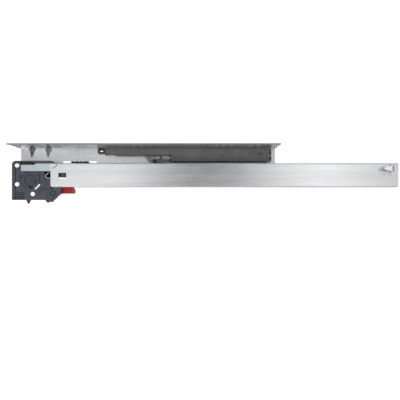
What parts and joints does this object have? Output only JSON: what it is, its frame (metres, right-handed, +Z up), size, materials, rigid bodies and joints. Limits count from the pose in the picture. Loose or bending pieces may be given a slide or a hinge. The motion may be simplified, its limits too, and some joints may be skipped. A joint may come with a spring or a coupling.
{
  "type": "cabinet drawer slide",
  "caption": "Concealed undermount drawer slide, left-hand, full extension, with a soft-close unit, a rear drawer hook and a front locking device with release lever.",
  "frame": {"origin": "on the face that is screwed to the cabinet wall, halfway along the cabinet rail and midway between its rows of holes", "axes": "+X towards the rear of the cabinet, +Y into the cabinet wall, +Z up"},
  "size_m": [0.4596, 0.0698, 0.0464],
  "materials": {
    "zinc_cabinet_rail": "zinc-plated rolled sheet, satin",
    "zinc_drawer_rail": "zinc-plated rolled sheet, satin",
    "zinc_inner": "zinc-plated rolled sheet, greased",
    "bright_steel": "bright turned steel",
    "spring_steel": "drawn spring steel",
    "damper_plastic": "moulded, fine grain",
    "damper_cap_plastic": "moulded, fine grain",
    "catch_plastic": "moulded acetal, smooth",
    "lock_plastic": "moulded, fine grain",
    "red_plastic": "moulded, satin",
    "black_plastic": "moulded, satin",
    "white_nylon": "moulded, greased"
  },
  "bodies": {
    "cabinet": {"cabinet_rail": "zinc_cabinet_rail", "cabinet_track": "zinc_inner", "track_front_stop": "black_plastic", "track_rear_stop": "black_plastic", "side_guide_block": "black_plastic", "damper_housing": "damper_plastic", "damper_end_cap": "damper_cap_plastic", "damper_cylinder": "bright_steel", "cylinder_gland": "white_nylon", "closing_spring_lower": "spring_steel", "closing_spring_upper": "spring_steel", "track_rivet_1": "bright_steel", "track_rivet_2": "bright_steel", "track_rivet_3": "bright_steel", "housing_eyelet": "black_plastic"},
    "catch": {"catch_slider": "catch_plastic", "piston_rod": "bright_steel", "pawl_pin": "bright_steel"},
    "pawl": {"catch_pawl": "catch_plastic"},
    "intermediate": {"intermediate_rail": "zinc_inner", "intermediate_front_cap": "black_plastic", "intermediate_rear_cap": "black_plastic", "pinion_bracket": "zinc_inner", "pinion_pin": "bright_steel"},
    "pinion": {"sync_pinion": "catch_plastic"},
    "lower_cage": {"lower_roller_cage": "white_nylon"},
    "upper_cage": {"upper_roller_cage": "white_nylon"},
    "drawer": {"drawer_rail": "zinc_drawer_rail", "rear_hook": "zinc_drawer_rail", "hook_rivet_1": "zinc_drawer_rail", "hook_rivet_2": "zinc_drawer_rail", "closing_tab": "black_plastic", "lock_housing": "lock_plastic", "lock_base": "lock_plastic", "lever_pivot_pin": "bright_steel", "lever_spring": "spring_steel", "latch_leaf": "spring_steel"},
    "lever": {"release_lever": "red_plastic"},
    "latch": {"latch_tooth": "lock_plastic"},
    "adjuster": {"adjuster_dial": "lock_plastic", "adjuster_arm": "red_plastic"},
    "side_slider": {"lateral_slider": "black_plastic"},
    "lower_roller_1": {"lower_roller_1": "bright_steel"},
    "lower_roller_2": {"lower_roller_2": "bright_steel"},
    "lower_roller_3": {"lower_roller_3": "bright_steel"},
    "lower_roller_4": {"lower_roller_4": "bright_steel"},
    "lower_roller_5": {"lower_roller_5": "bright_steel"},
    "upper_roller_1": {"upper_roller_1": "bright_steel"},
    "upper_roller_2": {"upper_roller_2": "bright_steel"},
    "upper_roller_3": {"upper_roller_3": "bright_steel"},
    "upper_roller_4": {"upper_roller_4": "bright_steel"},
    "upper_roller_5": {"upper_roller_5": "bright_steel"},
    "upper_roller_6": {"upper_roller_6": "bright_steel"}
  },
  "joints": [
    {"name": "drawer_extension", "type": "slide", "parent": "cabinet", "child": "drawer", "axis": [-1, 0, 0], "range_m": [0, 0.44]},
    {"name": "intermediate_extension", "type": "slide", "parent": "cabinet", "child": "intermediate", "axis": [-1, 0, 0], "range_m": [0, 0.22]},
    {"name": "lower_cage_travel", "type": "slide", "parent": "cabinet", "child": "lower_cage", "axis": [-1, 0, 0], "range_m": [0, 0.11]},
    {"name": "upper_cage_travel", "type": "slide", "parent": "cabinet", "child": "upper_cage", "axis": [-1, 0, 0], "range_m": [0, 0.33]},
    {"name": "pinion_spin", "type": "hinge", "parent": "intermediate", "child": "pinion", "pos_m": [0.0704, -0.0405, -0.01165], "axis": [0, 1, 0], "continuous": true},
    {"name": "lower_roller_1_spin", "type": "hinge", "parent": "lower_cage", "child": "lower_roller_1", "pos_m": [0.0324, -0.0335, -0.0145], "axis": [0, 1, 0], "continuous": true},
    {"name": "lower_roller_2_spin", "type": "hinge", "parent": "lower_cage", "child": "lower_roller_2", "pos_m": [0.0604, -0.0335, -0.0145], "axis": [0, 1, 0], "continuous": true},
    {"name": "lower_roller_3_spin", "type": "hinge", "parent": "lower_cage", "child": "lower_roller_3", "pos_m": [0.0884, -0.0335, -0.0145], "axis": [0, 1, 0], "continuous": true},
    {"name": "lower_roller_4_spin", "type": "hinge", "parent": "lower_cage", "child": "lower_roller_4", "pos_m": [0.1164, -0.0335, -0.0145], "axis": [0, 1, 0], "continuous": true},
    {"name": "lower_roller_5_spin", "type": "hinge", "parent": "lower_cage", "child": "lower_roller_5", "pos_m": [0.1444, -0.0335, -0.0145], "axis": [0, 1, 0], "continuous": true},
    {"name": "upper_roller_1_spin", "type": "hinge", "parent": "upper_cage", "child": "upper_roller_1", "pos_m": [0.0314, -0.0335, -0.0088], "axis": [0, 1, 0], "continuous": true},
    {"name": "upper_roller_2_spin", "type": "hinge", "parent": "upper_cage", "child": "upper_roller_2", "pos_m": [0.0564, -0.0335, -0.0088], "axis": [0, 1, 0], "continuous": true},
    {"name": "upper_roller_3_spin", "type": "hinge", "parent": "upper_cage", "child": "upper_roller_3", "pos_m": [0.0814, -0.0335, -0.0088], "axis": [0, 1, 0], "continuous": true},
    {"name": "upper_roller_4_spin", "type": "hinge", "parent": "upper_cage", "child": "upper_roller_4", "pos_m": [0.1064, -0.0335, -0.0088], "axis": [0, 1, 0], "continuous": true},
    {"name": "upper_roller_5_spin", "type": "hinge", "parent": "upper_cage", "child": "upper_roller_5", "pos_m": [0.1314, -0.0335, -0.0088], "axis": [0, 1, 0], "continuous": true},
    {"name": "upper_roller_6_spin", "type": "hinge", "parent": "upper_cage", "child": "upper_roller_6", "pos_m": [0.1564, -0.0335, -0.0088], "axis": [0, 1, 0], "continuous": true},
    {"name": "catch_travel", "type": "slide", "parent": "cabinet", "child": "catch", "axis": [-1, 0, 0], "range_m": [0, 0.042], "stiffness_N_per_m": 120, "springref_m": -0.06, "deforming": ["closing_spring_lower", "closing_spring_upper"]},
    {"name": "pawl_tilt", "type": "hinge", "parent": "catch", "child": "pawl", "pos_m": [0.013, -0.0139, -0.0205], "axis": [0, 0, -1], "range_deg": [0, 18]},
    {"name": "lever_squeeze", "type": "hinge", "parent": "drawer", "child": "lever", "pos_m": [-0.1102, -0.0573, -0.01475], "axis": [0, 0, -1], "range_deg": [0, 8], "stiffness_Nm_per_rad": 0.4, "springref_deg": -14.32, "deforming": ["lever_spring"]},
    {"name": "latch_retract", "type": "slide", "parent": "drawer", "child": "latch", "axis": [0, 0, -1], "range_m": [0, 0.003]},
    {"name": "dial_turn", "type": "hinge", "parent": "drawer", "child": "adjuster", "pos_m": [-0.137, -0.0419, -0.01025], "axis": [0, 0, 1], "range_deg": [0, 6]},
    {"name": "side_adjustment", "type": "slide", "parent": "drawer", "child": "side_slider", "axis": [0, -1, 0], "range_m": [0, 0.0013]}
  ],
  "couplings": [
    {"joint": "intermediate_extension", "follows": "drawer_extension", "ratio": 0.5},
    {"joint": "lower_cage_travel", "follows": "drawer_extension", "ratio": 0.25},
    {"joint": "upper_cage_travel", "follows": "drawer_extension", "ratio": 0.75},
    {"joint": "pinion_spin", "follows": "drawer_extension", "rad_per_m": -71.429},
    {"joint": "lower_roller_1_spin", "follows": "drawer_extension", "rad_per_m": -113.64},
    {"joint": "lower_roller_2_spin", "follows": "drawer_extension", "rad_per_m": -113.64},
    {"joint": "lower_roller_3_spin", "follows": "drawer_extension", "rad_per_m": -113.64},
    {"joint": "lower_roller_4_spin", "follows": "drawer_extension", "rad_per_m": -113.64},
    {"joint": "lower_roller_5_spin", "follows": "drawer_extension", "rad_per_m": -113.64},
    {"joint": "upper_roller_1_spin", "follows": "drawer_extension", "rad_per_m": -113.64},
    {"joint": "upper_roller_2_spin", "follows": "drawer_extension", "rad_per_m": -113.64},
    {"joint": "upper_roller_3_spin", "follows": "drawer_extension", "rad_per_m": -113.64},
    {"joint": "upper_roller_4_spin", "follows": "drawer_extension", "rad_per_m": -113.64},
    {"joint": "upper_roller_5_spin", "follows": "drawer_extension", "rad_per_m": -113.64},
    {"joint": "upper_roller_6_spin", "follows": "drawer_extension", "rad_per_m": -113.64},
    {"joint": "latch_retract", "follows": "lever_squeeze", "m_per_rad": 0.0214},
    {"joint": "side_adjustment", "follows": "dial_turn", "m_per_rad": 0.0124}
  ]
}
